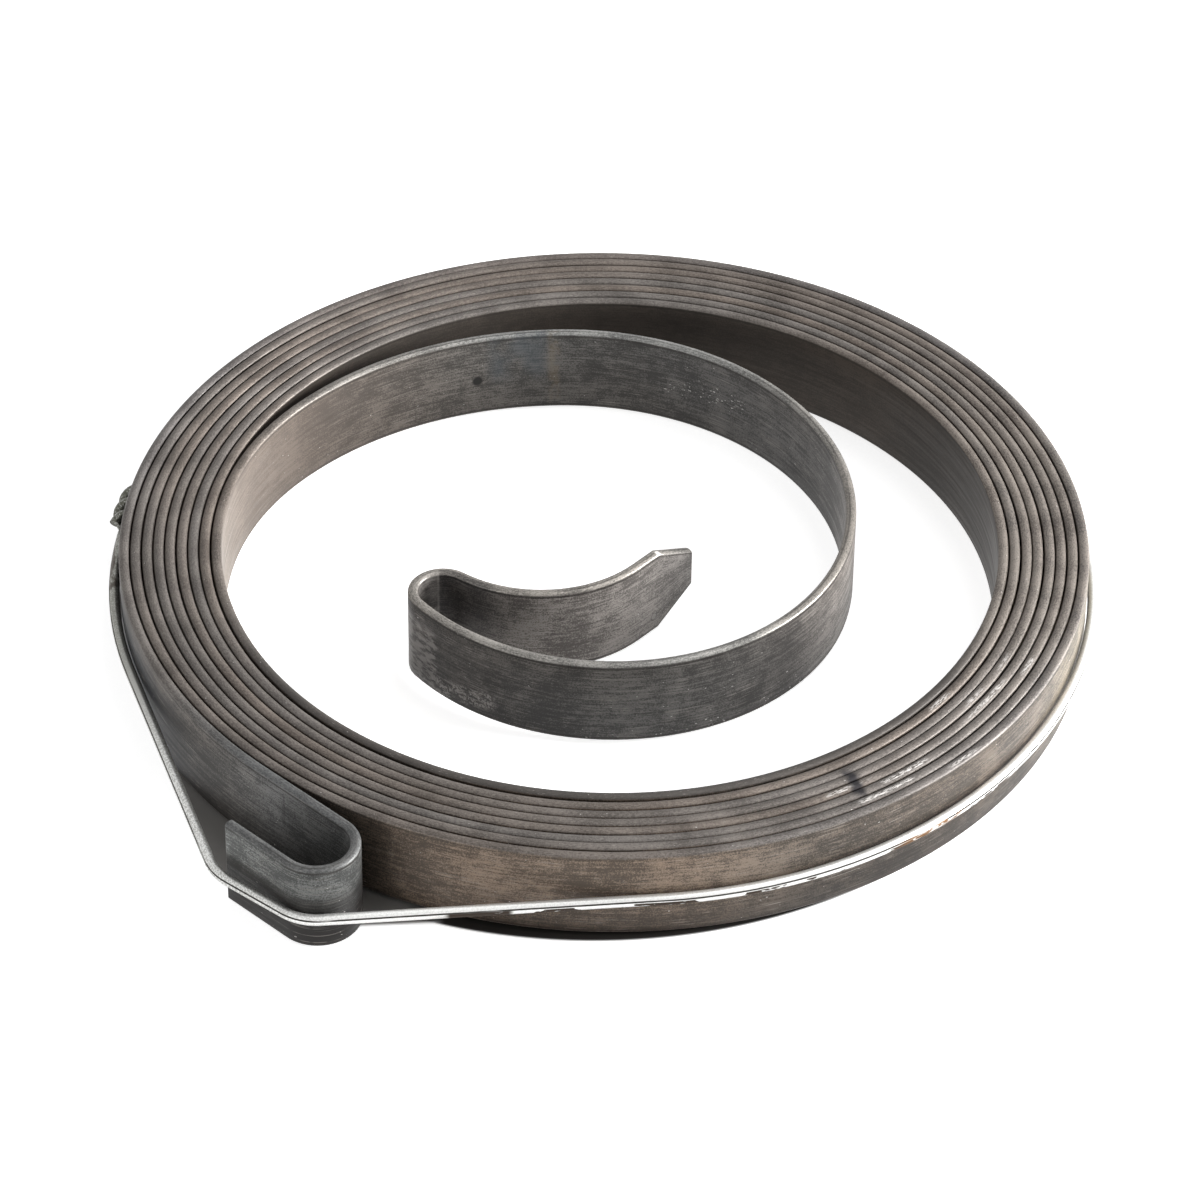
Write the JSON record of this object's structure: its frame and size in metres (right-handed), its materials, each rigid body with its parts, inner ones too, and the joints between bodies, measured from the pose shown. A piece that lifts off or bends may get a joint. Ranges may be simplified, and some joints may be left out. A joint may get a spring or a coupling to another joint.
{
  "type": "recoil starter spring",
  "caption": "Flat spiral spring wound tight from steel strip, with a hook at its outer end and a hooked tail at its inner end, kept closed by a twisted wire.",
  "frame": {"origin": "the coil's axis, on the plane of the strip's lower edges", "axes": "+Z along the coil's axis, from the lower edges to the upper; -Y towards the side nearest the outer hook, with the hook at -X -Y"},
  "size_m": [0.0825, 0.083, 0.0083],
  "materials": {
    "spring_steel": "dark tempered strip with streaks along it and paler worn edges",
    "tie_wire": "bright galvanised soft wire"
  },
  "bodies": {
    "root": {"spring_strip": "spring_steel", "retaining_wire": "tie_wire"}
  },
  "joints": []
}
